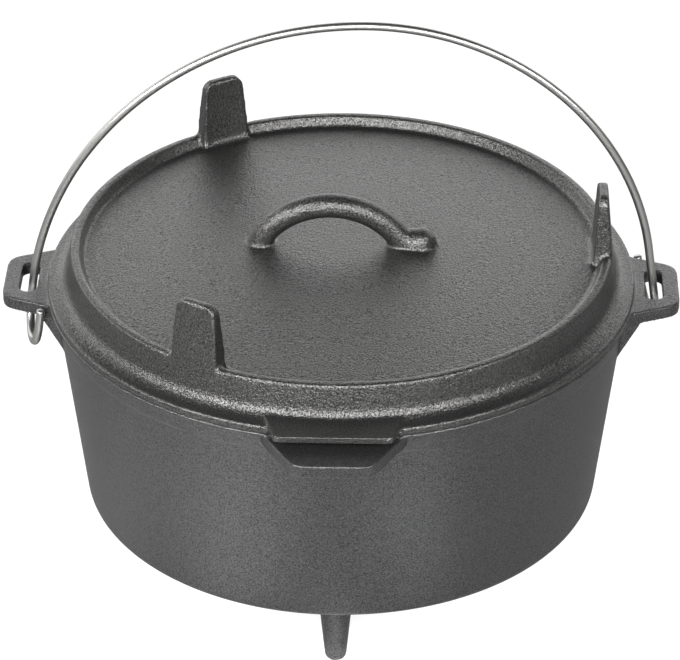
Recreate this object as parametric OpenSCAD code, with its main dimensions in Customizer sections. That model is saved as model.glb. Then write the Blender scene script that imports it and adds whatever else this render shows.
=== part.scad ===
// Camp oven: a cast pot on three legs, a rimmed lid with an arched grip and three lugs,
// and a bent wire bail that swings in the slots of the pot's ears.
// The axis of the pot is Z, the ground is z = 0, the ears lie along X and the tab faces -Y.

/* [Pot] */
// Diameter over the collar at the rim
pot_d = 359; // [345:1:375]
// Height from the flat underside to the rim
pot_h = 143.5; // [125:0.5:160]
// Thickness of the side wall
wall_t = 5.5; // [4.5:0.5:7]
// Thickness of the floor
floor_t = 6; // [5:0.5:9]
// Draft of the side wall, in degrees from upright
wall_draft = 6.7; // [5:0.1:8]
// Height of the thicker collar below the rim
collar_h = 14; // [10:1:20]
// How far the collar stands out from the wall
collar_step = 0.8; // [0.4:0.1:1.2]
// Round where the wall meets the underside
base_round = 6; // [3:1:9]
// Round where the wall meets the floor inside
floor_round = 12; // [8:1:16]

/* [Legs] */
// Height of the underside above the ground
leg_h = 46.5; // [38:0.5:60]
// Diameter of a leg at the underside
leg_root_d = 20.5; // [18:0.5:24]
// Diameter of a leg above its rounded foot
leg_tip_d = 13.5; // [12:0.5:16]
// Distance from the edge of the underside in to a leg's axis
leg_inset = 24; // [20:1:40]
// Round of the foot's lower edge
foot_round = 4; // [2:0.5:5]

/* [Ears and tab] */
// Reach of an ear past the collar
ear_reach = 30.5; // [29:0.5:36]
// Width of an ear where it leaves the collar
ear_root_w = 71; // [66:1:78]
// Width of an ear at its outer edge
ear_tip_w = 47; // [44:1:54]
// Thickness of the ears and of the tab
ear_t = 8; // [6:0.5:9]
// Step from the rim down to the top of the ears
ear_drop = 1.6; // [1:0.1:2.5]
// Round of the outer corners of the ears
ear_round = 12; // [8:1:16]
// Length of the slot across the ear
slot_l = 34; // [30:1:38]
// Width of the slot along the reach of the ear
slot_w = 11.4; // [10:0.2:12]
// Reach of the front tab past the collar
tab_reach = 30; // [22:1:34]
// Width of the front tab where it leaves the collar
tab_root_w = 80; // [70:1:90]
// Width of the front tab at its outer edge
tab_tip_w = 46; // [40:1:60]
// Depth of the sloped web under the ears and the tab
web_h = 14; // [10:1:24]
// Width of the web
web_w = 34; // [24:1:42]

/* [Lid] */
// How far the lid's flange stands out past the collar
flange_over = 3; // [1.5:0.5:4.5]
// Thickness of the flange
flange_t = 5; // [4:0.5:6.5]
// Height of the raised rim above the seat
lid_h = 27.5; // [24:0.5:32]
// Width of the flat crest of the raised rim
crest_w = 5.3; // [4.5:0.1:7]
// Lean of the outer side of the raised rim, in degrees from upright
rim_lean = 8; // [6:0.5:12]
// Width of the ledge between the raised rim and the flange's edge
ledge_w = 11.5; // [11:0.1:13]
// Fillet between the raised rim and the ledge
ledge_fillet = 9; // [6:0.5:9.5]
// Depth of the top plate below the crest, at its edge
dish_h = 6.5; // [5:0.5:9]
// Rise of the slightly domed plate from its edge to its middle
dome_h = 5; // [3:0.5:7]
// Thickness of the plate
lid_t = 5; // [4:0.5:7]
// Depth of the lip that drops into the pot's mouth
lip_h = 5; // [3:0.5:8]
// Clearance between the lip and the pot's mouth
lip_gap = 1.5; // [0.8:0.1:2.5]
// Reach of the lid's front tab past the flange
lid_tab_reach = 9.5; // [6:0.5:13]
// Width of the lid's front tab where it leaves the flange
lid_tab_root_w = 76; // [66:1:90]
// Width of the lid's front tab at its outer edge
lid_tab_tip_w = 70; // [54:1:78]

/* [Lugs] */
// Number of upright lugs on the raised rim
lug_count = 3; // [3:1:4]
// Height of a lug above the crest
lug_h = 39; // [30:1:44]
// Width of a lug at its base
lug_base_w = 32; // [27:1:36]
// Width of a lug at its top
lug_top_w = 26; // [20:1:27]
// Thickness of a lug at the crest
lug_base_t = 10.6; // [9:0.2:12]
// Thickness of a lug at its top
lug_top_t = 6; // [4:0.2:7]
// How far the outer face of a lug leans back from the crest to its top
lug_back = 3.6; // [2:0.2:6]
// Round of the upper corners of a lug
lug_round = 7.5; // [3:0.5:8]

/* [Lid grip] */
// Diameter of the grip's bar
grip_d = 14; // [12:0.5:16]
// Radius of the arch, to the middle of the bar
grip_r = 52; // [48:1:58]
// Height of the bar's middle above the plate, at the top of the arch
grip_rise = 27; // [26:0.5:33]
// Place of the top of the arch along X
grip_x = -6.7; // [-10:0.1:-4]
// Height of the flat foot's middle above the plate
grip_foot_h = 2.8; // [2:0.1:4]
// Diameter of the flat foot
grip_foot_d = 13; // [11:0.5:15]
// Length of the flat foot, from the arch to the middle of its round end
grip_foot_l = 15; // [10:0.5:22]

/* [Bail] */
// Diameter of the wire
wire_d = 5.2; // [4.6:0.1:6]
// How far the top of the hand-bent arch lies to one side
bail_lean = 15; // [6:0.5:17]
// Height of the tighter arc's middle above the rim
bail_rise = -1; // [-2:0.5:8]
// Splay of the straight ends of the wire, in degrees from upright
bail_splay = 8; // [5:0.5:10]
// Clearance between the left end of the wire and the inner edge of its slot
slot_gap = 0.6; // [0.6:0.1:2]
// Clearance between the hook and the edge of the ear
hook_gap = 1.4; // [1:0.1:2]
// Turn of the hook towards the pot, in degrees
hook_turn = 12; // [0:1:12]
// Depth of the hook's middle below the pivot
hook_drop = 8; // [8:0.2:14]
// Length of the hook's straight end
hook_end_l = 12; // [8:0.5:13]

/* [Hidden] */
$fn = 128;
bar_sides = 40;
arc_steps = 8;

rim_r = pot_d / 2;
rim_z = leg_h + pot_h;
collar_r = rim_r - collar_h * tan(wall_draft);
wall_top_z = pot_h - collar_h - collar_step;
base_r = collar_r - collar_step - wall_top_z * tan(wall_draft);
mouth_r = base_r + pot_h * tan(wall_draft) - wall_t / cos(wall_draft);
rim_edge = 1.2;

leg_count = 3;
leg_r = base_r - leg_inset;
leg_flare = 3;
web_out = 6;
cut = 1;

flange_r = rim_r + flange_over;
flange_edge = 1.2;
wall_foot_r = flange_r - ledge_w;
crest_r = wall_foot_r - (lid_h - flange_t) * tan(rim_lean);
crest_round = 1.8;
dish_slope = 3.4;
dish_r = crest_r - crest_w - dish_slope;
dish_z = lid_h - dish_h;
crown_z = dish_z + dome_h;
dome_r = (dish_r * dish_r + dome_h * dome_h) / (2 * dome_h);
lip_r = mouth_r - lip_gap;
lip_t = 5;
under_r = dish_r - 2;
under_round = 5;
lid_tab_t = 4;
lid_tab_lift = 2;
lid_tab_round = 4;

lug_meet = 2.5;
lug_meet_r = crest_r + lug_meet * tan(rim_lean);
lug_sink = 2;

arch_z = crown_z + grip_rise - grip_r;
foot_z = crown_z + grip_foot_h;
foot_x = grip_x + sqrt(pow(grip_r, 2) - pow(foot_z - arch_z, 2));
arch_end_a = asin((dish_z - lid_t - arch_z) / grip_r);

slot_r = rim_r + ear_reach / 2;
pivot_z = -ear_drop - ear_t / 2;
left_half = slot_r - slot_w / 2 + slot_gap + wire_d / 2 / cos(bail_splay) + ear_t / 2 * tan(bail_splay);
arch_r = (slot_r - bail_lean - (bail_rise - pivot_z) * tan(bail_splay)) * cos(bail_splay);
bail_h = bail_rise + arch_r;
ear_slope = (ear_root_w - ear_tip_w) / 2 / ear_reach;
ear_half = ear_root_w / 2 - (left_half - rim_r) * ear_slope;
hook_reach = norm([ear_half, ear_t / 2]) + wire_d / 2 + hook_gap;
hook_r = ceil(5 * hook_reach / (cos(hook_turn) - ear_slope * sin(hook_turn))) / 10;
swell_l = 8;
swell_rise = 0.15;

iron = [0.36, 0.36, 0.35];
steel = [0.78, 0.78, 0.77];

// Points along an arc about c, from angle a to angle b
function arc(c, r, a, b, steps = arc_steps) =
    [for (i = [0 : steps]) c + r * [cos(a + (b - a) * i / steps), sin(a + (b - a) * i / steps)]];

// Middle of a round of radius r between a level line at z and a wall that leans out by the draft
function corner(line_r, z, r) =
    [line_r + (z + r) * tan(wall_draft) - r / cos(wall_draft), z + r];

module revolve(points) {
    rotate_extrude() polygon(points);
}

// Part of a ring of bar, standing in the XZ plane about [x, 0, z]
module bent_bar(x, z, r, d, a, b) {
    translate([x, 0, z])
        rotate([90, 0, 0])
            rotate_extrude(angle = b - a, start = a)
                translate([r, 0]) circle(d = d, $fn = bar_sides);
}

// Plan of an ear or a tab: it narrows along X and its outer corners are round
module ear_plan(inner, outer, root_w, tip_w, round) {
    side_a = atan((root_w - tip_w) / 2 / (outer - rim_r));
    spread = (rim_r - inner) * tan(side_a);
    corner_y = tip_w / 2 + round * tan(side_a) - round / cos(side_a);
    polygon(concat(
        [[inner, -root_w / 2 - spread]],
        arc([outer - round, -corner_y], round, side_a - 90, 0),
        arc([outer - round, corner_y], round, 0, 90 - side_a),
        [[inner, root_w / 2 + spread]]
    ));
}

// Flat plate at the rim with a sloped web below it that runs into the wall
module ear(reach, root_w, tip_w) {
    inner = base_r;
    translate([0, 0, pot_h - ear_drop - ear_t]) {
        linear_extrude(ear_t)
            ear_plan(inner, rim_r + reach, root_w, tip_w, ear_round);
        translate([0, web_w / 2, 0])
            rotate([90, 0, 0])
                linear_extrude(web_w)
                    polygon([
                        [inner, ear_t / 2], [rim_r + web_out, ear_t / 2], [rim_r + web_out, 0],
                        [rim_r - 2 * web_out, -web_h], [inner, -web_h]
                    ]);
    }
}

module slot() {
    end_y = (slot_l - slot_w) / 2;
    translate([slot_r, 0, pot_h - ear_drop - ear_t - cut])
        linear_extrude(ear_t + 2 * cut) {
            square([slot_w, 2 * end_y], center = true);
            for (y = [-end_y, end_y])
                translate([0, y]) circle(d = slot_w);
        }
}

// Tapered leg with a rounded foot, from the ground up into the floor
module leg() {
    tip_r = leg_tip_d / 2;
    root_r = leg_root_d / 2;
    revolve(concat(
        [[0, 0]],
        arc([tip_r - foot_round, foot_round], foot_round, -90, 0),
        [[root_r, leg_h - leg_flare], [root_r + leg_flare, leg_h], [root_r + leg_flare, leg_h + floor_t / 2],
         [0, leg_h + floor_t / 2]]
    ));
}

module pot_outside() {
    revolve(concat(
        [[0, 0]],
        arc(corner(base_r, 0, base_round), base_round, -90, -wall_draft),
        [[base_r + wall_top_z * tan(wall_draft), wall_top_z], [collar_r, pot_h - collar_h]],
        arc([rim_r - rim_edge, pot_h - rim_edge], rim_edge, 0, 90),
        [[0, pot_h]]
    ));
}

module pot_inside() {
    inner_r = base_r - wall_t / cos(wall_draft);
    revolve(concat(
        [[0, floor_t]],
        arc(corner(inner_r, floor_t, floor_round), floor_round, -90, -wall_draft),
        [[mouth_r, pot_h], [mouth_r, pot_h + cut], [0, pot_h + cut]]
    ));
}

module pot() {
    color(iron) {
        translate([0, 0, leg_h])
            difference() {
                union() {
                    pot_outside();
                    for (a = [0, 180]) rotate(a) ear(ear_reach, ear_root_w, ear_tip_w);
                    rotate(-90) ear(tab_reach, tab_root_w, tab_tip_w);
                }
                pot_inside();
                for (a = [0, 180]) rotate(a) slot();
            }
        for (i = [0 : leg_count - 1])
            rotate(-90 + i * 360 / leg_count) translate([leg_r, 0, 0]) leg();
    }
}

// Solid outer form of the lid, before its underside is hollowed
module lid_outside() {
    fillet_r = wall_foot_r + ledge_fillet * tan((90 - rim_lean) / 2);
    dome_a = asin(dish_r / dome_r);
    revolve(concat(
        [[0, -lip_h], [lip_r - lip_h * tan(wall_draft), -lip_h], [lip_r, 0]],
        arc([flange_r - flange_edge, flange_edge], flange_edge, -90, 0),
        arc([flange_r - flange_edge, flange_t - flange_edge], flange_edge, 0, 90),
        arc([fillet_r, flange_t + ledge_fillet], ledge_fillet, 270, 180 + rim_lean),
        arc([crest_r - crest_round, lid_h - crest_round], crest_round, rim_lean, 90),
        [[crest_r - crest_w, lid_h]],
        arc([0, crown_z - dome_r], dome_r, 90 - dome_a, 90)
    ));
}

// Hollow below the plate
module lid_underside() {
    inner_dome = dome_r - lid_t;
    dome_a = asin(under_r / dome_r);
    wall_in = lip_r - lip_t;
    revolve(concat(
        [[0, -lip_h - cut], [wall_in, -lip_h - cut], [wall_in, 0]],
        arc([under_r - under_round, dish_z - lid_t - under_round], under_round, 0, 90),
        arc([0, crown_z - dome_r], inner_dome, 90 - dome_a * 0.9, 90)
    ));
}

// Upright lug: its outer face runs up out of the leaning side of the rim and follows its curve
module lug() {
    base_z = dish_z - lug_sink;
    top_z = lid_h + lug_h;
    taper = (lug_base_w - lug_top_w) / 2 / lug_h;
    base_half = lug_base_w / 2 + (lid_h - base_z) * taper;
    side_a = atan(taper);
    corner_y = lug_top_w / 2 + lug_round * tan(side_a) - lug_round / cos(side_a);
    lean = (lug_meet_r - crest_r + lug_back) / (lug_meet + lug_h);
    thin = (lug_base_t - lug_top_t) / lug_h;
    function outer(z) = lug_meet_r - (z - lid_h + lug_meet) * lean;
    function inner(z) = outer(z) - lug_base_t + (z - lid_h) * thin;
    span = 2 * atan(lug_base_w / crest_r);
    intersection() {
        rotate([90, 0, 90])
            linear_extrude(wall_foot_r)
                polygon(concat(
                    [[-base_half, base_z], [base_half, base_z]],
                    arc([corner_y, top_z - lug_round], lug_round, side_a, 90),
                    arc([-corner_y, top_z - lug_round], lug_round, 90, 180 - side_a)
                ));
        rotate_extrude(angle = span, start = -span / 2)
            polygon([
                [inner(base_z), base_z], [outer(base_z), base_z],
                [outer(top_z + cut), top_z + cut], [inner(top_z + cut), top_z + cut]
            ]);
    }
}

// Arched bar: one end plunges into the plate, the other runs out into a flat foot
module grip() {
    bent_bar(grip_x, arch_z, grip_r, grip_d, arch_end_a, 180 - arch_end_a);
    translate([foot_x, 0, foot_z])
        rotate([0, 90, 0])
            revolve(concat(
                [[0, 0], [grip_foot_d / 2, 0]],
                arc([0, grip_foot_l], grip_foot_d / 2, 0, 90)
            ));
}

module lid_tab() {
    translate([0, 0, flange_t + lid_tab_lift - lid_tab_t])
        linear_extrude(lid_tab_t)
            rotate(-90)
                ear_plan(crest_r - crest_w, flange_r + lid_tab_reach, lid_tab_root_w, lid_tab_tip_w, lid_tab_round);
}

module lid() {
    color(iron)
        translate([0, 0, rim_z])
            difference() {
                union() {
                    lid_outside();
                    lid_tab();
                    grip();
                    for (i = [0 : lug_count - 1]) rotate(i * 360 / lug_count) lug();
                }
                lid_underside();
            }
}

// End of the wire: it passes under the ear and turns up beside its edge
module hook() {
    rotate(hook_turn) {
        translate([0, hook_r, 0])
            rotate(90)
                bent_bar(0, 0, hook_r, wire_d, 180, 360);
        translate([0, 2 * hook_r, 0])
            cylinder(d = wire_d, h = hook_end_l, $fn = bar_sides);
    }
}

// Half of the wire: an arc down from the top at x, a straight end at half through the slot, a knuckle
// where it was bent aside, and the hook
module bail_side(x, half) {
    rise = bail_h - pivot_z;
    r = ((half - x) * cos(bail_splay) - rise * sin(bail_splay)) / (1 - sin(bail_splay));
    end_l = (rise + hook_drop - r * (1 - sin(bail_splay))) / cos(bail_splay);
    translate([x, 0, bail_h - r])
        rotate([0, -bail_splay, 0]) {
            bent_bar(0, 0, r, wire_d, 0, 90 - bail_splay);
            translate([r, 0, -end_l]) {
                translate([0, 0, swell_rise])
                    cylinder(d = wire_d, h = end_l - swell_rise, $fn = bar_sides);
                sphere(d = wire_d + 2 * swell_rise, $fn = bar_sides);
                hook();
            }
        }
}

// Slight swell of the wire at the top, where both bends meet
module swell() {
    end_r = wire_d / 2 - swell_rise;
    mid_r = wire_d / 2 + swell_rise;
    rotate([0, 90, 0])
        revolve([
            [0, -swell_l / 2], [end_r, -swell_l / 2], [mid_r, -swell_l / 6],
            [mid_r, swell_l / 6], [end_r, swell_l / 2], [0, swell_l / 2]
        ]);
}

module bail() {
    color(steel)
        translate([0, 0, rim_z]) {
            bail_side(bail_lean, slot_r);
            rotate(180) bail_side(-bail_lean, left_half);
            translate([bail_lean, 0, bail_h]) swell();
        }
}

pot();
lid();
bail();
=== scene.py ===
import math

import bmesh
import bpy
from mathutils import Matrix, Vector


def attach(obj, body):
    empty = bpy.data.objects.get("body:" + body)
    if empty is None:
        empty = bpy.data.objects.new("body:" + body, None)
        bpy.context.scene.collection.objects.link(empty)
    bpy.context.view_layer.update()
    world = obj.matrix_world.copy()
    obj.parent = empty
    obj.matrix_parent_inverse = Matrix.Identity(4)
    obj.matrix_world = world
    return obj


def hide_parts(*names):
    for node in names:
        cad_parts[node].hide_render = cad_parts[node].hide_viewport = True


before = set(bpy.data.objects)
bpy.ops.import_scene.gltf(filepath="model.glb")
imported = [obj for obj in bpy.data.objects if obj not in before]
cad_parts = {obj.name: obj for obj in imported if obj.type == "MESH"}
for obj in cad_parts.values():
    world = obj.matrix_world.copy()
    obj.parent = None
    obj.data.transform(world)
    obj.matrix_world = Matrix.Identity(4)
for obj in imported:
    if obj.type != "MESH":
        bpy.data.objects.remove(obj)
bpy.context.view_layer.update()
print("frame loaded:", sorted(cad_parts))

mm = 0.001


# helpers for outlines, in millimetres

def tanDeg(a):
    return math.tan(math.radians(a))


def cosDeg(a):
    return math.cos(math.radians(a))


def sinDeg(a):
    return math.sin(math.radians(a))


def arcPoints(centre, radius, startDeg, endDeg, count=8):
    points = []
    for i in range(count + 1):
        a = math.radians(startDeg + (endDeg - startDeg) * i / count)
        points.append((centre[0] + radius * math.cos(a), centre[1] + radius * math.sin(a)))
    return points


def fillLine(points, step=6):
    # extra points along straight stretches, so that long faces stay regular
    full = [points[0]]
    for one, two in zip(points, points[1:]):
        parts = max(1, math.ceil(math.dist(one, two) / step))
        for k in range(1, parts + 1):
            full.append(tuple(a + (b - a) * k / parts for a, b in zip(one, two)))
    return full


# helpers for meshes

def addPiece(name, bm):
    bmesh.ops.recalc_face_normals(bm, faces=bm.faces)
    mesh = bpy.data.meshes.new(name)
    bm.to_mesh(mesh)
    bm.free()
    piece = bpy.data.objects.new(name, mesh)
    bpy.context.scene.collection.objects.link(piece)
    return piece


def bakeModifiers(piece):
    bpy.context.view_layer.update()
    shape = piece.evaluated_get(bpy.context.evaluated_depsgraph_get())
    baked = bpy.data.meshes.new_from_object(shape)
    piece.modifiers.clear()
    old = piece.data
    piece.data = baked
    bpy.data.meshes.remove(old)
    return piece


def shadeSmooth(mesh):
    mesh.polygons.foreach_set("use_smooth", [True] * len(mesh.polygons))


def dropPiece(piece):
    mesh = piece.data
    bpy.data.objects.remove(piece)
    bpy.data.meshes.remove(mesh)


def turnPiece(name, profile, steps, startDeg=0.0, sweepDeg=360.0):
    # turns a closed outline of (radius, height) about the upright axis
    bm = bmesh.new()
    whole = sweepDeg == 360.0
    rings = []
    for k in range(steps if whole else steps + 1):
        a = math.radians(startDeg + sweepDeg * k / steps)
        ring = []
        for r, z in profile:
            if whole and r == 0 and k > 0:
                ring.append(rings[0][len(ring)])
            else:
                ring.append(bm.verts.new((r * math.cos(a) * mm, r * math.sin(a) * mm, z * mm)))
        rings.append(ring)
    pairs = list(zip(rings, rings[1:]))
    if whole:
        pairs.append((rings[-1], rings[0]))
    for one, two in pairs:
        for k in range(len(profile)):
            j = (k + 1) % len(profile)
            corners = []
            for v in (one[k], two[k], two[j], one[j]):
                if v not in corners:
                    corners.append(v)
            if len(corners) > 2:
                bm.faces.new(corners)
    if not whole:
        bm.faces.new(rings[0])
        bm.faces.new(list(reversed(rings[-1])))
    return addPiece(name, bm)


def plateFrom(name, outline, low, high, place=None):
    # extrudes an outline of (x, y) from low to high, then places it
    bm = bmesh.new()
    bottom = [bm.verts.new((x * mm, y * mm, low * mm)) for x, y in outline]
    top = [bm.verts.new((x * mm, y * mm, high * mm)) for x, y in outline]
    bm.faces.new(list(reversed(bottom)))
    bm.faces.new(top)
    for k in range(len(outline)):
        j = (k + 1) % len(outline)
        bm.faces.new((bottom[k], bottom[j], top[j], top[k]))
    if place:
        bmesh.ops.transform(bm, matrix=place, verts=bm.verts)
    return addPiece(name, bm)


def sweepTube(name, path, radii, sides):
    bm = bmesh.new()
    points = [Vector(p) * mm for p in path]
    tangents = []
    for i in range(len(points)):
        tangents.append((points[min(i + 1, len(points) - 1)] - points[max(i - 1, 0)]).normalized())
    side = tangents[0].orthogonal().normalized()
    rings = []
    for point, tangent, radius in zip(points, tangents, radii):
        side = (side - tangent * side.dot(tangent)).normalized()  # carried along without twist
        up = tangent.cross(side)
        ring = []
        for k in range(sides):
            a = 2 * math.pi * k / sides
            ring.append(bm.verts.new(point + radius * mm * (math.cos(a) * side + math.sin(a) * up)))
        rings.append(ring)
    for one, two in zip(rings, rings[1:]):
        for k in range(sides):
            j = (k + 1) % sides
            bm.faces.new((one[k], one[j], two[j], two[k]))
    bm.faces.new(list(reversed(rings[0])))
    bm.faces.new(rings[-1])
    return addPiece(name, bm)


def cutWith(piece, tool, operation):
    cut = piece.modifiers.new("cut", "BOOLEAN")
    cut.object = tool
    cut.operation = operation
    cut.solver = "EXACT"
    bakeModifiers(piece)
    dropPiece(tool)
    return piece


def spin(piece, angleDeg):
    piece.data.transform(Matrix.Rotation(math.radians(angleDeg), 4, "Z"))
    return piece


def softGroup(piece, spots, lift):
    # weights fade from each spot (x, y, z, reach), where corners are filled more
    group = piece.vertex_groups.new(name="soft")
    spots = [(Vector((x, y, z + lift)) * mm, reach * mm) for x, y, z, reach in spots]
    for v in piece.data.vertices:
        weight = max((1 - ((v.co - spot).length / reach) ** 2 for spot, reach in spots), default=0)
        if weight > 0:
            group.add([v.index], weight, "REPLACE")
    return group


def castTogether(name, forms, casting, softSpots=()):
    # the forms run into one skin with round edges and inner corners, as iron does in a mould
    bm = bmesh.new()
    for form in forms:
        bm.from_mesh(form.data)
        dropPiece(form)
    bmesh.ops.translate(bm, vec=Vector((0, 0, casting["lift"] * mm)), verts=bm.verts)
    piece = addPiece(name, bm)
    grid = piece.modifiers.new("grid", "REMESH")
    grid.mode = "VOXEL"
    grid.voxel_size = casting["grid"] * mm
    bakeModifiers(piece)
    if softSpots:
        soft = softGroup(piece, softSpots, casting["lift"])
        filleting = piece.modifiers.new("filleting", "SMOOTH")
        filleting.factor = casting["softness"]
        filleting.iterations = casting["filleting"]
        filleting.vertex_group = soft.name
    rounding = piece.modifiers.new("rounding", "SMOOTH")
    rounding.factor = casting["softness"]
    rounding.iterations = casting["rounding"]
    thin = piece.modifiers.new("thin", "DECIMATE")
    thin.ratio = casting["keep"]
    bakeModifiers(piece)
    shadeSmooth(piece.data)
    print(name, "cast:", len(piece.data.polygons), "faces")
    return piece


# pot: a drafted bowl with a collar, two slotted ears, a front tab and three legs

potBody = {
    "rimD": 359,
    "height": 143.5,
    "wallT": 5.5,
    "floorT": 6,
    "draft": 6.7,          # degrees from upright
    "collarH": 14,
    "collarStep": 0.8,
    "baseRound": 6,
    "floorRound": 12,
    "rimEdge": 1.2,
    "lipOut": 3.4,         # lip at the rim, just past the lid's flange
    "lipH": 1.8,
    "legH": 46.5,
    "legRootD": 20.5,
    "legTipD": 13.5,
    "legInset": 24,
    "legFlare": 5,
    "footRound": 4,
    "legs": 3,
    "legSteps": 48,
    "steps": 480,
}

potEars = {
    "reach": 30.5,
    "rootW": 71,
    "tipW": 47,
    "thick": 8,
    "drop": 1.6,           # rim down to the top of the ears
    "round": 12,
    "rootIn": 2,           # from the mouth into the wall, where the plate starts
    "slotL": 34,
    "slotW": 11.4,
    "cutOver": 2,          # the slot's cutter, above and below
    "webH": 29,            # sloped web below the plate
    "webW": 65,
    "webOut": 6.5,
    "webLap": 1,           # up into the plate
    "webSink": 4,          # into the wall
    "webToe": 0.5,
}

frontTab = dict(potEars, reach=30, rootW=80, tipW=46, webH=14, webW=34, slotL=0)   # without a slot

potCasting = {
    "grid": 0.95,          # mm, finest form of the skin
    "rounding": 2,         # passes over all edges
    "softness": 0.5,
    "keep": 0.4,           # share of the faces
    "lift": potBody["legH"],
}


def potSizes(p):
    rimR = p["rimD"] / 2
    collarR = rimR - p["collarH"] * tanDeg(p["draft"])
    wallTop = p["height"] - p["collarH"] - p["collarStep"]
    baseR = collarR - p["collarStep"] - wallTop * tanDeg(p["draft"])
    mouthR = baseR + p["height"] * tanDeg(p["draft"]) - p["wallT"] / cosDeg(p["draft"])
    return {"rimR": rimR, "collarR": collarR, "wallTop": wallTop, "baseR": baseR, "mouthR": mouthR}


potIs = potSizes(potBody)


def cornerRound(lineR, z, r, draft):
    return (lineR + (z + r) * tanDeg(draft) - r / cosDeg(draft), z + r)


def potProfile(p, s):
    draft = p["draft"]
    innerR = s["baseR"] - p["wallT"] / cosDeg(draft)
    edge = p["rimEdge"]
    lipR = s["rimR"] + p["lipOut"]
    underLip = p["height"] - p["lipH"] - p["lipOut"] / 2
    baseMid = cornerRound(s["baseR"], 0, p["baseRound"], draft)
    floorMid = cornerRound(innerR, p["floorT"], p["floorRound"], draft)
    points = [(0, 0)]
    points += arcPoints(baseMid, p["baseRound"], -90, -draft)
    points += [(s["baseR"] + s["wallTop"] * tanDeg(draft), s["wallTop"])]
    points += [(s["collarR"], p["height"] - p["collarH"])]
    points += [(s["rimR"] - (p["height"] - underLip) * tanDeg(draft), underLip)]
    points += [(lipR, p["height"] - p["lipH"])]
    points += arcPoints((lipR - edge, p["height"] - edge), edge, 0, 90, 4)
    points += arcPoints((s["mouthR"] + edge, p["height"] - edge), edge, 90, 180, 4)
    points += arcPoints(floorMid, p["floorRound"], -draft, -90)
    points += [(0, p["floorT"])]
    return fillLine(points)


def earPlan(inner, outer, rimR, rootW, tipW, corner):
    sideA = math.degrees(math.atan((rootW - tipW) / 2 / (outer - rimR)))
    spread = (rimR - inner) * tanDeg(sideA)
    cornerY = tipW / 2 + corner * tanDeg(sideA) - corner / cosDeg(sideA)
    points = [(inner, -rootW / 2 - spread)]
    points += arcPoints((outer - corner, -cornerY), corner, sideA - 90, 0)
    points += arcPoints((outer - corner, cornerY), corner, 0, 90 - sideA)
    points += [(inner, rootW / 2 + spread)]
    return points


def makeEar(p, s, e):
    top = p["height"] - e["drop"]
    low = top - e["thick"]
    inner = s["mouthR"] + e["rootIn"]
    plan = earPlan(inner, s["rimR"] + e["reach"], s["rimR"], e["rootW"], e["tipW"], e["round"])
    ear = plateFrom("ear", plan, low, top)
    if e["slotL"]:
        endY = (e["slotL"] - e["slotW"]) / 2
        slotR = s["rimR"] + e["reach"] / 2
        slot = arcPoints((slotR, endY), e["slotW"] / 2, 0, 180)
        slot += arcPoints((slotR, -endY), e["slotW"] / 2, 180, 360)
        cutWith(ear, plateFrom("slot", slot, low - e["cutOver"], top + e["cutOver"]), "DIFFERENCE")
    webR = s["rimR"] + e["webOut"]
    webLow = low - e["webH"]
    deep = s["baseR"] + webLow * tanDeg(p["draft"]) - e["webSink"]
    side = [(inner, low + e["webLap"]), (webR, low + e["webLap"]), (webR, low)]
    side += [(deep, webLow), (deep - e["webToe"], webLow)]
    upright = Matrix.Rotation(math.radians(90), 4, "X")
    web = plateFrom("web", side, -e["webW"] / 2, e["webW"] / 2, upright)
    return [ear, web]


def legProfile(p):
    tipR = p["legTipD"] / 2
    rootR = p["legRootD"] / 2
    flare = p["legFlare"]
    points = [(0, 0)]
    points += arcPoints((tipR - p["footRound"], p["footRound"]), p["footRound"], -90, 0)
    points += arcPoints((rootR + flare, p["legH"] - flare), flare, 180, 90, 5)
    points += [(rootR + flare, p["legH"] + p["floorT"] / 2), (0, p["legH"] + p["floorT"] / 2)]
    return points


def makePot(p, s, ears, tab):
    forms = [turnPiece("bowl", potProfile(p, s), p["steps"])]
    for e, a in ((ears, 0), (ears, 180), (tab, -90)):
        forms += [spin(form, a) for form in makeEar(p, s, e)]
    for i in range(p["legs"]):
        leg = turnPiece("leg", legProfile(p), p["legSteps"])
        leg.data.transform(Matrix.Translation(Vector((s["baseR"] - p["legInset"], 0, -p["legH"])) * mm))
        forms.append(spin(leg, -90 + i * 360 / p["legs"]))
    return castTogether("potCasting", forms, potCasting)


pot = makePot(potBody, potIs, potEars, frontTab)


# lid: a raised rim round a slightly domed plate, with an arched grip, three lugs and a front tab

lidBody = {
    "flangeOver": 3,
    "flangeT": 5,
    "flangeEdge": 1.2,
    "height": 27.5,        # seat to the crest of the raised rim
    "crestW": 5.3,
    "crestRound": 1.8,
    "rimLean": 8,          # degrees from upright
    "ledgeW": 11.5,
    "ledgeFillet": 9,
    "dishH": 6.5,
    "dishSlope": 3.4,
    "dishFillet": 2.5,
    "domeH": 5,
    "plateT": 5,
    "lipH": 5,
    "lipGap": 1.5,
    "lipT": 5,
    "underRound": 5,
    "underIn": 2,          # hollow side, inside the dish
    "tabReach": 9.5,
    "tabRootW": 76,
    "tabTipW": 70,
    "tabT": 4,
    "tabLift": 2,
    "tabRound": 4,
    "steps": 480,
}

lidLugs = {
    "count": 3,
    "height": 39,          # above the crest
    "baseW": 32,
    "topW": 26,
    "baseT": 11.4,
    "topT": 6,
    "back": 3.6,           # the outer face leans back by this
    "meet": 2.5,           # below the crest, where the outer face leaves the rim's side
    "round": 7.5,
    "topEdge": 2,
    "topLean": 5,          # degrees, outer face at the top
    "fillet": 5,
    "sink": 2,             # into the plate
    "softR": 9,            # reach of the soft corners beside the base
    "steps": 24,
}

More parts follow.
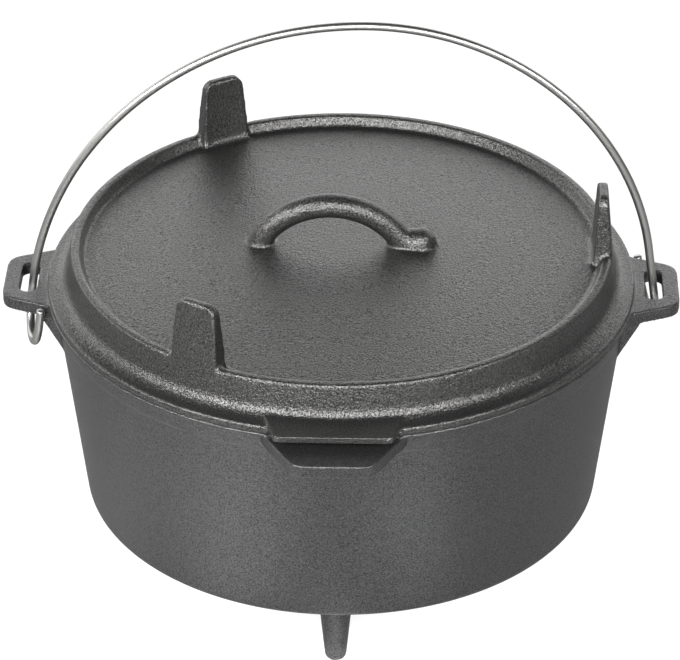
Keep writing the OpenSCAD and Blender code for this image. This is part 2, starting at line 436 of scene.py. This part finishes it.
lidGrip = {
    "barD": 15.2,
    "archR": 52,
    "rise": 26.4,
    "topX": -6.7,
    "rootR": 34,           # tighter bend at the plain end
    "rootFrom": 132,       # degrees along the arch
    "footH": 1.4,          # middle of the flat foot above the plate
    "footD": 18.4,
    "flareFrom": 26,       # where the bar starts to widen
    "noseX": 59.6,
    "noseL": 8.6,
    "noseBlunt": (1.6, 0.7),
    "noseTip": 0.02,       # share of the foot's width
    "noseSteps": 14,
    "bendR": 12,           # bend from the arch to the foot
    "softR": 12,           # reach of the soft corners at both ends
    "softRoot": 7,         # their places, from the root inwards
    "softFoot": (22, 8),   # and back from the nose
    "sides": 40,
}

lidCasting = {
    "grid": 1.0,
    "rounding": 2,
    "filleting": 20,       # passes over the soft corners
    "softness": 0.5,
    "keep": 0.6,
    "lift": potBody["legH"] + potBody["height"],
}


def lidSizes(d, pot, potSize):
    flangeR = potSize["rimR"] + d["flangeOver"]
    wallFootR = flangeR - d["ledgeW"]
    crestR = wallFootR - (d["height"] - d["flangeT"]) * tanDeg(d["rimLean"])
    dishR = crestR - d["crestW"] - d["dishSlope"]
    dishZ = d["height"] - d["dishH"]
    lipR = potSize["mouthR"] - d["lipGap"]
    return {
        "flangeR": flangeR, "wallFootR": wallFootR, "crestR": crestR, "dishR": dishR, "dishZ": dishZ,
        "crownZ": dishZ + d["domeH"], "domeR": (dishR ** 2 + d["domeH"] ** 2) / (2 * d["domeH"]),
        "lipR": lipR, "lipLowR": lipR - d["lipH"] * tanDeg(pot["draft"]),
    }


lidIs = lidSizes(lidBody, potBody, potIs)


def lidProfile(d, s):
    edge = d["flangeEdge"]
    filletR = s["wallFootR"] + d["ledgeFillet"] * tanDeg((90 - d["rimLean"]) / 2)
    domeA = math.degrees(math.asin((s["dishR"] - d["dishFillet"]) / s["domeR"]))
    underR = s["dishR"] - d["underIn"]
    underA = math.degrees(math.asin((underR - d["underRound"]) / s["domeR"]))
    wallIn = s["lipR"] - d["lipT"]
    crownLow = (0, s["crownZ"] - s["domeR"])
    points = arcPoints(crownLow, s["domeR"] - d["plateT"], 90, 90 - underA, 20)
    underMid = (underR - d["underRound"], s["dishZ"] - d["plateT"] - d["underRound"])
    points += arcPoints(underMid, d["underRound"], 80, 0, 5)
    points += [(wallIn, 0), (wallIn, -d["lipH"]), (s["lipLowR"], -d["lipH"]), (s["lipR"], 0)]
    points += [(s["flangeR"], 0)]
    points += arcPoints((s["flangeR"] - edge, d["flangeT"] - edge), edge, 0, 90, 4)
    points += arcPoints((filletR, d["flangeT"] + d["ledgeFillet"]), d["ledgeFillet"], 270, 180 + d["rimLean"])
    crestMid = (s["crestR"] - d["crestRound"], d["height"] - d["crestRound"])
    points += arcPoints(crestMid, d["crestRound"], d["rimLean"], 90, 6)
    points += [(s["crestR"] - d["crestW"], d["height"]), (s["dishR"], s["dishZ"])]
    points += arcPoints(crownLow, s["domeR"], 90 - domeA, 90, 20)
    return fillLine(points)


def makeLug(d, s, g):
    baseZ = s["dishZ"] - g["sink"]
    topZ = d["height"] + g["height"]
    taper = (g["baseW"] - g["topW"]) / 2 / g["height"]
    sideA = math.degrees(math.atan(taper))
    cornerY = g["topW"] / 2 + g["round"] * tanDeg(sideA) - g["round"] / cosDeg(sideA)
    f = g["fillet"]
    half = [(g["baseW"] / 2 + (d["height"] - baseZ) * taper, baseZ)]
    half += arcPoints((cornerY, topZ - g["round"]), g["round"], sideA, 90)
    front = half + [(-y, z) for y, z in reversed(half)]
    stand = Matrix.Rotation(math.radians(90), 4, "Z") @ Matrix.Rotation(math.radians(90), 4, "X")
    lug = plateFrom("lug", front, s["dishR"] - 3 * f, s["wallFootR"], stand)
    # side view, turned about the lid's axis so that the outer face follows the rim
    meetR = s["crestR"] + g["meet"] * tanDeg(d["rimLean"])
    lean = (meetR - s["crestR"] + g["back"]) / (g["meet"] + g["height"])
    thin = (g["baseT"] - g["topT"]) / g["height"]

    def outerR(z):
        return meetR - (z - d["height"] + g["meet"]) * lean

    def innerR(z):
        return outerR(z) - g["baseT"] + (z - d["height"]) * thin

    plateZ = s["dishZ"]
    topEdge = g["topEdge"]
    section = [(outerR(baseZ), baseZ)]
    section += arcPoints((outerR(topZ) - topEdge, topZ - topEdge), topEdge, g["topLean"], 90, 4)
    section += arcPoints((innerR(topZ) + topEdge, topZ - topEdge), topEdge, 90, 180, 4)
    section += arcPoints((innerR(plateZ + f) - f, plateZ + f), f, 0, -90, 6)
    section += [(innerR(plateZ + f) - f, baseZ)]
    sweep = 2 * math.degrees(math.atan(1.5 * g["baseW"] / s["crestR"]))     # wider than the lug
    return cutWith(lug, turnPiece("section", section, g["steps"], -sweep / 2, sweep), "INTERSECT")


def makeGrip(d, s, g):
    archZ = s["crownZ"] + g["rise"] - g["archR"]
    footZ = s["crownZ"] + g["footH"]
    bendZ = footZ + g["bendR"]
    bendX = g["topX"] + math.sqrt((g["archR"] + g["bendR"]) ** 2 - (bendZ - archZ) ** 2)
    leave = math.degrees(math.atan2(bendZ - archZ, bendX - g["topX"]))
    rootGap = g["archR"] - g["rootR"]
    rootX = g["topX"] + rootGap * cosDeg(g["rootFrom"])
    rootZ = archZ + rootGap * sinDeg(g["rootFrom"])
    sunk = math.degrees(math.asin((s["dishZ"] - d["plateT"] / 2 - rootZ) / g["rootR"]))
    path = arcPoints((rootX, rootZ), g["rootR"], 180 - sunk, g["rootFrom"], 20)
    path += arcPoints((g["topX"], archZ), g["archR"], g["rootFrom"], leave, 50)[1:]
    path += arcPoints((bendX, bendZ), g["bendR"], 180 + leave, 270, 10)[1:]
    noseFrom = g["noseX"] - g["noseL"]
    path += [(bendX + (noseFrom - bendX) * k / 4, footZ) for k in range(1, 5) if noseFrom > bendX]
    nose = [sinDeg(90 * k / g["noseSteps"]) for k in range(1, g["noseSteps"] + 1)]
    path += [(noseFrom + g["noseL"] * t, footZ) for t in nose]
    full, drawn = g["noseBlunt"]
    radii = []
    for x, z in path:
        blend = min(1, max(0, (x - g["flareFrom"]) / (noseFrom - g["flareFrom"])))
        r = g["barD"] / 2 + (g["footD"] - g["barD"]) / 2 * blend ** 2
        t = max(0, (x - noseFrom) / g["noseL"])
        radii.append(r * max(g["noseTip"], 1 - t ** full) ** drawn)
    return sweepTube("grip", [(x, 0, z) for x, z in path], radii, g["sides"])


def makeLid(d, s, lugs, grip):
    forms = [turnPiece("dome", lidProfile(d, s), d["steps"])]
    plan = earPlan(s["crestR"] - d["crestW"], s["flangeR"] + d["tabReach"], potIs["rimR"],
                   d["tabRootW"], d["tabTipW"], d["tabRound"])
    tabTop = d["flangeT"] + d["tabLift"]
    forms.append(spin(plateFrom("lidTab", plan, tabTop - d["tabT"], tabTop), -90))
    forms.append(makeGrip(d, s, grip))
    soft = [(grip["topX"] - grip["archR"] + grip["softRoot"], 0, s["crownZ"], grip["softR"])]
    soft += [(grip["noseX"] - x, 0, s["crownZ"], grip["softR"]) for x in grip["softFoot"]]
    x = s["crestR"] - d["crestW"]
    for i in range(lugs["count"]):
        a = i * 360 / lugs["count"]
        forms.append(spin(makeLug(d, s, lugs), a))
        for y in (-lugs["baseW"] / 2, lugs["baseW"] / 2):
            softX = x * cosDeg(a) - y * sinDeg(a)
            softY = x * sinDeg(a) + y * cosDeg(a)
            soft.append((softX, softY, d["height"], lugs["softR"]))
    return castTogether("lidCasting", forms, lidCasting, soft)


lid = makeLid(lidBody, lidIs, lidLugs, lidGrip)


# bail: one bent wire that hooks under the ears

bailWire = {
    "wireD": 5.2,
    "lean": 15,            # the hand-bent top lies to one side
    "rise": -1,            # middle of the tighter arc above the rim
    "splay": 8,            # degrees, straight ends from upright
    "slotGap": 0.6,
    "hookGap": 1.4,
    "hookTurn": 12,        # degrees, towards the pot
    "hookDrop": 8,
    "hookEndL": 12,
    "endRound": 0.6,
    "sides": 28,
}


def bailSide(w, x, half, top, pivotZ, hookR):
    # from the top at x down through the slot at half, round the hook to its cut end
    rise = top - pivotZ
    r = ((half - x) * cosDeg(w["splay"]) - rise * sinDeg(w["splay"])) / (1 - sinDeg(w["splay"]))
    endL = (rise + w["hookDrop"] - r * (1 - sinDeg(w["splay"]))) / cosDeg(w["splay"])
    local = [Vector((px, 0, pz)) for px, pz in arcPoints((0, 0), r, 90 - w["splay"], 0, 64)]
    local += [Vector((r, 0, -endL * k / 6)) for k in range(1, 6)]
    turn = Matrix.Rotation(math.radians(w["hookTurn"]), 3, "Z")
    for y, z in arcPoints((hookR, 0), hookR, 180, 360, 28):
        local.append(Vector((r, 0, -endL)) + turn @ Vector((0, y, z)))
    for k in range(1, 5):
        local.append(Vector((r, 0, -endL)) + turn @ Vector((0, 2 * hookR, w["hookEndL"] * k / 4)))
    tilt = Matrix.Rotation(math.radians(-w["splay"]), 3, "Y")
    return [Vector((x, 0, top - r)) + tilt @ p for p in local]


def makeBail(w, p, s, e):
    slotR = s["rimR"] + e["reach"] / 2
    pivotZ = -e["drop"] - e["thick"] / 2
    leftHalf = slotR - e["slotW"] / 2 + w["slotGap"]
    leftHalf += w["wireD"] / 2 / cosDeg(w["splay"]) + e["thick"] / 2 * tanDeg(w["splay"])
    archR = (slotR - w["lean"] - (w["rise"] - pivotZ) * tanDeg(w["splay"])) * cosDeg(w["splay"])
    top = w["rise"] + archR
    slope = (e["rootW"] - e["tipW"]) / 2 / e["reach"]
    earHalf = e["rootW"] / 2 - (leftHalf - s["rimR"]) * slope
    reach = math.hypot(earHalf, e["thick"] / 2) + w["wireD"] / 2 + w["hookGap"]
    hookR = math.ceil(5 * reach / (cosDeg(w["hookTurn"]) - slope * sinDeg(w["hookTurn"]))) / 10
    right = bailSide(w, w["lean"], slotR, top, pivotZ, hookR)
    left = [Vector((-q.x, -q.y, q.z)) for q in bailSide(w, -w["lean"], leftHalf, top, pivotZ, hookR)]
    path = list(reversed(left))[:-1] + right
    lift = Vector((0, 0, p["legH"] + p["height"]))
    path = [q + lift for q in path]
    radius = w["wireD"] / 2
    inset = w["endRound"]
    first = (path[1] - path[0]).normalized()
    last = (path[-2] - path[-1]).normalized()
    path = [path[0], path[0] + first * inset] + path[1:-1] + [path[-1] + last * inset, path[-1]]
    radii = [radius - inset] + [radius] * (len(path) - 2) + [radius - inset]
    piece = sweepTube("bailWire", path, radii, w["sides"])
    shadeSmooth(piece.data)
    print("bail bent:", len(piece.data.polygons), "faces")
    return piece


bail = makeBail(bailWire, potBody, potIs, potEars)

for piece, node in ((pot, "pot"), (lid, "lid"), (bail, "bail")):
    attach(piece, node)
    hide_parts(node)


# finishes

def newMaterial(name):
    mat = bpy.data.materials.new(name)
    mat.use_nodes = True
    tree = mat.node_tree
    return mat, tree, tree.nodes["Principled BSDF"]


def addNode(tree, kind, **values):
    node = tree.nodes.new(kind)
    for key, value in values.items():
        if key in node.inputs:
            node.inputs[key].default_value = value
        else:
            setattr(node, key, value)
    return node


potIron = {
    "dark": (0.010, 0.010, 0.0099, 1),
    "light": (0.018, 0.018, 0.0178, 1),
    "tint": (1, 1, 1, 1),
    "roughLow": 0.26,
    "roughHigh": 0.42,
    "ior": 1.8,
    "paintedPitShade": 0.08,      # shine in the pits, painted lower as their shade
    "paintedTopGlint": 0.92,     # and on the tops of the grain, painted higher as glints
    "grain": 0.9,          # mm, one sand grain in the skin
    "pits": 2.0,           # mm, between the larger pits
    "cloud": 45,           # mm, patches of oil
    "depth": 0.34,         # mm, height of the grain
    "pitShare": 0.5,       # of the pits in that height
    "grainLow": 0.3,       # range of the noise that the shine follows
    "grainHigh": 0.7,
}

# the lid's shine has painted shade in the pits and painted glints on the grain's tops, over a wider range
lidIron = dict(potIron, tint=(1, 0.99, 0.965, 1), roughLow=0.24, roughHigh=0.38, paintedPitShade=0.02,
               paintedTopGlint=0.98, grain=1.0, depth=0.44)


def makeIron(name, c):
    mat, tree, shader = newMaterial(name)
    link = tree.links.new
    place = addNode(tree, "ShaderNodeTexCoord")
    cloud = addNode(tree, "ShaderNodeTexNoise", Scale=1000 / c["cloud"], Detail=3.0)
    grain = addNode(tree, "ShaderNodeTexNoise", Scale=1000 / c["grain"], Detail=2.0, Roughness=0.55)
    pits = addNode(tree, "ShaderNodeTexVoronoi", feature="SMOOTH_F1", Scale=1000 / c["pits"])
    for tex in (cloud, grain, pits):
        link(place.outputs["Object"], tex.inputs["Vector"])
    tint = addNode(tree, "ShaderNodeMix", data_type="RGBA")
    tint.inputs["A"].default_value = c["dark"]
    tint.inputs["B"].default_value = c["light"]
    link(cloud.outputs["Fac"], tint.inputs["Factor"])
    link(tint.outputs["Result"], shader.inputs["Base Color"])
    rough = addNode(tree, "ShaderNodeMapRange")
    rough.inputs["To Min"].default_value = c["roughLow"]
    rough.inputs["To Max"].default_value = c["roughHigh"]
    link(grain.outputs["Fac"], rough.inputs["Value"])
    link(rough.outputs["Result"], shader.inputs["Roughness"])
    height = addNode(tree, "ShaderNodeMath", operation="MULTIPLY_ADD")
    link(pits.outputs["Distance"], height.inputs[0])
    height.inputs[1].default_value = c["pitShare"]
    link(grain.outputs["Fac"], height.inputs[2])
    bump = addNode(tree, "ShaderNodeBump", Strength=1.0, Distance=c["depth"] * mm)
    link(height.outputs["Value"], bump.inputs["Height"])
    link(bump.outputs["Normal"], shader.inputs["Normal"])
    # specular level follows the grain: painted shade in the pits, painted glints on the grain's tops
    gloss = addNode(tree, "ShaderNodeMapRange")
    gloss.inputs["From Min"].default_value = c["grainLow"]
    gloss.inputs["From Max"].default_value = c["grainHigh"]
    gloss.inputs["To Min"].default_value = c["paintedPitShade"]
    gloss.inputs["To Max"].default_value = c["paintedTopGlint"]
    link(grain.outputs["Fac"], gloss.inputs["Value"])
    link(gloss.outputs["Result"], shader.inputs["Specular IOR Level"])
    shader.inputs["IOR"].default_value = c["ior"]
    shader.inputs["Specular Tint"].default_value = c["tint"]
    return mat


drawnSteel = {
    "color": (0.44, 0.44, 0.43, 1),
    "rough": 0.36,
    "streak": 0.5,         # mm
    "depth": 0.01,         # mm
}


def makeSteel(name, c):
    mat, tree, shader = newMaterial(name)
    link = tree.links.new
    place = addNode(tree, "ShaderNodeTexCoord")
    streak = addNode(tree, "ShaderNodeTexNoise", Scale=1000 / c["streak"], Detail=2.0)
    link(place.outputs["Object"], streak.inputs["Vector"])
    bump = addNode(tree, "ShaderNodeBump", Strength=0.5, Distance=c["depth"] * mm)
    link(streak.outputs["Fac"], bump.inputs["Height"])
    link(bump.outputs["Normal"], shader.inputs["Normal"])
    shader.inputs["Base Color"].default_value = c["color"]
    shader.inputs["Metallic"].default_value = 1.0
    shader.inputs["Roughness"].default_value = c["rough"]
    return mat


steel = makeSteel("drawnWire", drawnSteel)
for piece, mat in ((pot, makeIron("potIron", potIron)), (lid, makeIron("lidIron", lidIron)), (bail, steel)):
    piece.data.materials.clear()
    piece.data.materials.append(mat)
print("finishes made")


# studio: floor, world, lamps

studio = {
    "floorSize": 40,
    "floorColor": (0.30, 0.30, 0.30, 1),
    "floorRough": 0.9,
    "floorSeen": 0.85,     # what the camera sees of the floor, besides its lit share
    "floorGloss": 0.06,    # the same for what gloss sees
    "skyGlow": 2.3,
    "skyLow": 18,          # degrees, bright below this height
    "skyHigh": 50,         # degrees, dim above it
    "skyDim": 0.08,
    "frontDim": 0.05,      # share of the sky's light on the camera's side
    "backTurn": 18,        # degrees, the bright side lies this far to the left of the back
    "backFull": 0.7,       # full light from here on, as a cosine
    "lampAim": (0, 0, 0.15),
}


def makeFloor(s):
    bm = bmesh.new()
    bmesh.ops.create_grid(bm, x_segments=1, y_segments=1, size=s["floorSize"] / 2)
    floor = addPiece("floor", bm)
    mat, tree, shader = newMaterial("paperFloor")
    link = tree.links.new
    shader.inputs["Base Color"].default_value = s["floorColor"]
    shader.inputs["Roughness"].default_value = s["floorRough"]
    shader.inputs["Specular IOR Level"].default_value = 0.0
    shader.inputs["Emission Color"].default_value = (1, 1, 1, 1)
    path = addNode(tree, "ShaderNodeLightPath")
    gloss = addNode(tree, "ShaderNodeMath", operation="MAXIMUM")
    link(path.outputs["Is Glossy Ray"], gloss.inputs[0])
    link(path.outputs["Is Transmission Ray"], gloss.inputs[1])
    glossPart = addNode(tree, "ShaderNodeMath", operation="MULTIPLY")
    link(gloss.outputs["Value"], glossPart.inputs[0])
    glossPart.inputs[1].default_value = s["floorGloss"]
    seen = addNode(tree, "ShaderNodeMath", operation="MULTIPLY_ADD")
    link(path.outputs["Is Camera Ray"], seen.inputs[0])
    seen.inputs[1].default_value = s["floorSeen"]
    link(glossPart.outputs["Value"], seen.inputs[2])
    link(seen.outputs["Value"], shader.inputs["Emission Strength"])
    floor.data.materials.append(mat)
    return floor


def makeWorld(s):
    world = bpy.data.worlds.new("studio")
    world.use_nodes = True
    bpy.context.scene.world = world
    tree = world.node_tree
    sky = tree.nodes["Background"]
    place = addNode(tree, "ShaderNodeTexCoord")
    parts = addNode(tree, "ShaderNodeSeparateXYZ")
    tree.links.new(place.outputs["Generated"], parts.inputs["Vector"])
    fade = addNode(tree, "ShaderNodeMapRange", interpolation_type="SMOOTHSTEP")
    fade.inputs["From Min"].default_value = sinDeg(s["skyLow"])
    fade.inputs["From Max"].default_value = sinDeg(s["skyHigh"])
    fade.inputs["To Min"].default_value = s["skyGlow"]
    fade.inputs["To Max"].default_value = s["skyDim"]
    tree.links.new(parts.outputs["Z"], fade.inputs["Value"])
    back = addNode(tree, "ShaderNodeMapRange", interpolation_type="SMOOTHSTEP")
    back.inputs["From Min"].default_value = 0.0
    back.inputs["From Max"].default_value = s["backFull"]
    back.inputs["To Min"].default_value = s["frontDim"]
    toBack = addNode(tree, "ShaderNodeVectorMath", operation="DOT_PRODUCT")
    toBack.inputs[1].default_value = (-sinDeg(s["backTurn"]), cosDeg(s["backTurn"]), 0)
    tree.links.new(place.outputs["Generated"], toBack.inputs[0])
    tree.links.new(toBack.outputs["Value"], back.inputs["Value"])
    light = addNode(tree, "ShaderNodeMath", operation="MULTIPLY")
    tree.links.new(fade.outputs["Result"], light.inputs[0])
    tree.links.new(back.outputs["Result"], light.inputs[1])
    path = addNode(tree, "ShaderNodeLightPath")
    seen = addNode(tree, "ShaderNodeMath", operation="MAXIMUM")     # white where the camera sees it
    tree.links.new(light.outputs["Value"], seen.inputs[0])
    tree.links.new(path.outputs["Is Camera Ray"], seen.inputs[1])
    tree.links.new(seen.outputs["Value"], sky.inputs["Strength"])
    sky.inputs["Color"].default_value = (1, 1, 1, 1)


lamps = [
    {"name": "frontBox", "azimuth": -5, "height": 23, "away": 2.9, "size": (1.5, 1.0), "watts": 66},
    {"name": "leftBox", "azimuth": -44, "height": 31, "away": 1.3, "size": (1.0, 0.3), "watts": 16},
    {"name": "rightBox", "azimuth": 36, "height": 30, "away": 1.3, "size": (0.8, 0.3), "watts": 13},
]

# pools of light on the floor, which the wall and the front leg mirror; each lamp stands above its spot, or
# some way before it
pools = [
    {"name": "leftPool", "spot": (-0.15, -0.26), "height": 0.6, "before": 0, "coneDeg": 26, "watts": 51},
    {"name": "sidePool", "spot": (-0.27, -0.11), "height": 0.6, "before": 0, "coneDeg": 24, "watts": 13},
    {"name": "rightPool", "spot": (0.11, -0.27), "height": 0.6, "before": 0, "coneDeg": 16, "watts": 58},
    {"name": "legPool", "spot": (0, -0.175), "height": 0.25, "before": 0.375, "coneDeg": 8, "watts": 40},
]


def makeLamp(lamp, aim):
    data = bpy.data.lights.new(lamp["name"], "AREA")
    data.shape = "RECTANGLE"
    data.size, data.size_y = lamp["size"]
    data.energy = lamp["watts"]
    holder = bpy.data.objects.new(lamp["name"], data)
    bpy.context.scene.collection.objects.link(holder)
    a = math.radians(lamp["azimuth"])
    e = math.radians(lamp["height"])
    away = Vector((math.sin(a) * math.cos(e), -math.cos(a) * math.cos(e), math.sin(e)))
    holder.location = aim + away * lamp["away"]
    holder.rotation_mode = "QUATERNION"
    holder.rotation_quaternion = away.to_track_quat("Z", "Y")


def makePool(pool):
    data = bpy.data.lights.new(pool["name"], "SPOT")
    data.energy = pool["watts"]
    data.spot_size = math.radians(pool["coneDeg"])
    data.spot_blend = 1.0
    holder = bpy.data.objects.new(pool["name"], data)
    bpy.context.scene.collection.objects.link(holder)
    x, y = pool["spot"]
    holder.location = (x, y - pool["before"], pool["height"])
    holder.rotation_euler = (math.atan2(pool["before"], pool["height"]), 0, 0)


makeFloor(studio)
makeWorld(studio)
for lamp in lamps:
    makeLamp(lamp, Vector(studio["lampAim"]))
for pool in pools:
    makePool(pool)
print("studio lit")


# camera, fitted to the photograph's frame

photoCamera = {
    "imageW": 680,
    "imageH": 660,
    "focalPx": 3763.97,
    "axisPx": (341.21, 326.7),   # where the lens axis meets the image
    "away": 2.366,
    "azimuth": 1.44,
    "height": 31.55,
    "aimZ": 0.1548,
}


def makeCamera(c):
    data = bpy.data.cameras.new("photoCamera")
    data.sensor_fit = "HORIZONTAL"
    data.sensor_width = 36
    data.lens = data.sensor_width * c["focalPx"] / c["imageW"]
    data.shift_x = (c["imageW"] / 2 - c["axisPx"][0]) / c["imageW"]
    data.shift_y = (c["axisPx"][1] - c["imageH"] / 2) / c["imageW"]
    holder = bpy.data.objects.new("photoCamera", data)
    bpy.context.scene.collection.objects.link(holder)
    a = math.radians(c["azimuth"])
    e = math.radians(c["height"])
    back = Vector((math.sin(a) * math.cos(e), -math.cos(a) * math.cos(e), math.sin(e)))
    holder.location = Vector((0, 0, c["aimZ"])) + back * c["away"]
    holder.rotation_mode = "QUATERNION"
    holder.rotation_quaternion = back.to_track_quat("Z", "Y")
    bpy.context.scene.camera = holder


makeCamera(photoCamera)
bpy.context.scene.view_settings.view_transform = "Standard"
print("camera set")
